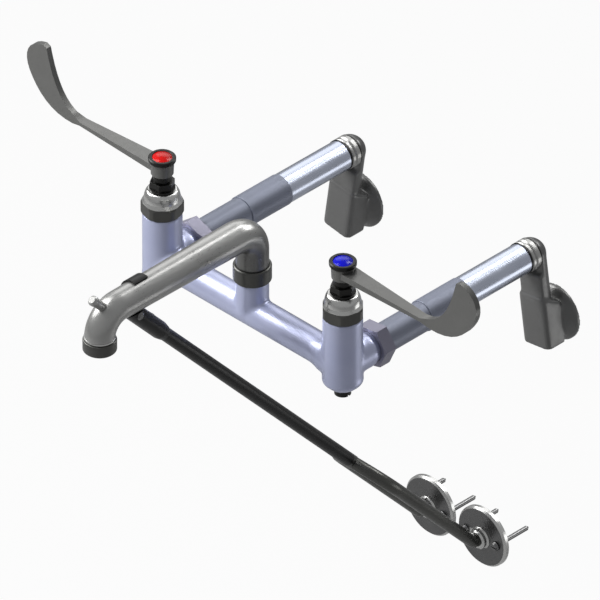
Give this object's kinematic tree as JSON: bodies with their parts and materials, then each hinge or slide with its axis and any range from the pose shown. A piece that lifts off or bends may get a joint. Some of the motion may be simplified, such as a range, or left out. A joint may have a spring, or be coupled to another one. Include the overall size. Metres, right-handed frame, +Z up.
{
  "type": "wall mounted service sink faucet",
  "caption": "Wall mounted bridge faucet with two wrist blade valves, a braced long spout with a pail hook, and swivel inlet arms on the wall.",
  "frame": {"origin": "on the wall plane, midway between the two valve axes and level with the bridge's centreline", "axes": "+X to the user's right, +Y into the wall, +Z up"},
  "size_m": [0.5048, 0.4513, 0.495],
  "materials": {
    "cast_brass": "plated as cast, satin",
    "plated_spout": "polished",
    "plated_nut": "satin",
    "spout_ring": "dark satin",
    "coupling": "satin",
    "bright_tube": "polished",
    "bonnet": "polished",
    "dark_nut": "dark satin",
    "handle": "satin",
    "hot_cap": "gloss",
    "cold_cap": "gloss",
    "dark_arm": "dark satin",
    "brace": "dark satin",
    "flange": "satin",
    "screw": "bright",
    "raw_brass": "turned",
    "ceramic": "lapped",
    "rubber": "matte"
  },
  "bodies": {
    "root": {"bridge_body": "cast_brass", "spout_gasket": "rubber", "spout_nut": "spout_ring", "spout": "plated_spout", "pail_hook": "plated_spout", "stream_regulator": "bright_tube", "outlet_collar": "spout_ring", "hot_seat_seal": "rubber", "hot_fixed_disc": "ceramic", "hot_cartridge": "raw_brass", "hot_packing": "rubber", "hot_bonnet": "bonnet", "hot_packing_nut": "dark_nut", "hot_inlet_washer": "rubber", "hot_coupling_nut": "plated_nut", "hot_tailpiece": "plated_nut", "hot_pipe_coupling": "coupling", "hot_supply_tube": "bright_tube", "hot_arm_seal": "rubber", "hot_swivel_collar": "dark_arm", "cold_seat_seal": "rubber", "cold_fixed_disc": "ceramic", "cold_cartridge": "raw_brass", "cold_packing": "rubber", "cold_bonnet": "bonnet", "cold_packing_nut": "dark_nut", "cold_inlet_washer": "rubber", "cold_coupling_nut": "plated_nut", "cold_tailpiece": "plated_nut", "cold_pipe_coupling": "coupling", "cold_supply_tube": "bright_tube", "cold_arm_seal": "rubber", "cold_swivel_collar": "dark_arm", "collar_screws": "screw", "brace_strap": "brace", "brace_pin": "screw", "brace_sleeve": "brace", "brace_rod": "brace", "brace_hairpin": "brace", "left_wall_flange": "flange", "right_wall_flange": "flange", "wall_screws": "screw", "set_screws": "screw"},
    "hot_valve_handle": {"hot_handle": "handle", "hot_stem": "raw_brass", "hot_handle_screw": "screw", "hot_index_cap": "hot_cap", "hot_moving_disc": "ceramic"},
    "cold_valve_handle": {"cold_handle": "handle", "cold_stem": "raw_brass", "cold_handle_screw": "screw", "cold_index_cap": "cold_cap", "cold_moving_disc": "ceramic"},
    "hot_stop": {"hot_stop_plug": "plated_nut"},
    "cold_stop": {"cold_stop_plug": "plated_nut"},
    "hot_inlet_arm": {"hot_drop_arm": "dark_arm", "hot_strainer": "screw"},
    "cold_inlet_arm": {"cold_drop_arm": "dark_arm", "cold_strainer": "screw"}
  },
  "joints": [
    {"name": "hot_handle_turn", "type": "hinge", "parent": "root", "child": "hot_valve_handle", "pos_m": [-0.1016, -0.235, 0.09], "axis": [0, 0, 1], "range_deg": [0, 90]},
    {"name": "cold_handle_turn", "type": "hinge", "parent": "root", "child": "cold_valve_handle", "pos_m": [0.1016, -0.235, 0.09], "axis": [0, 0, 1], "range_deg": [-90, 0]},
    {"name": "hot_stop_turn", "type": "hinge", "parent": "root", "child": "hot_stop", "pos_m": [-0.1016, -0.235, -0.02], "axis": [0, 0, 1], "range_deg": [0, 90]},
    {"name": "cold_stop_turn", "type": "hinge", "parent": "root", "child": "cold_stop", "pos_m": [0.1016, -0.235, -0.02], "axis": [0, 0, 1], "range_deg": [-90, 0]},
    {"name": "hot_arm_swing", "type": "hinge", "parent": "root", "child": "hot_inlet_arm", "pos_m": [-0.1016, -0.02, 0], "axis": [0, 1, 0], "range_deg": [-53, 37]},
    {"name": "cold_arm_swing", "type": "hinge", "parent": "root", "child": "cold_inlet_arm", "pos_m": [0.1016, -0.02, 0], "axis": [0, 1, 0], "range_deg": [-37, 53]}
  ]
}
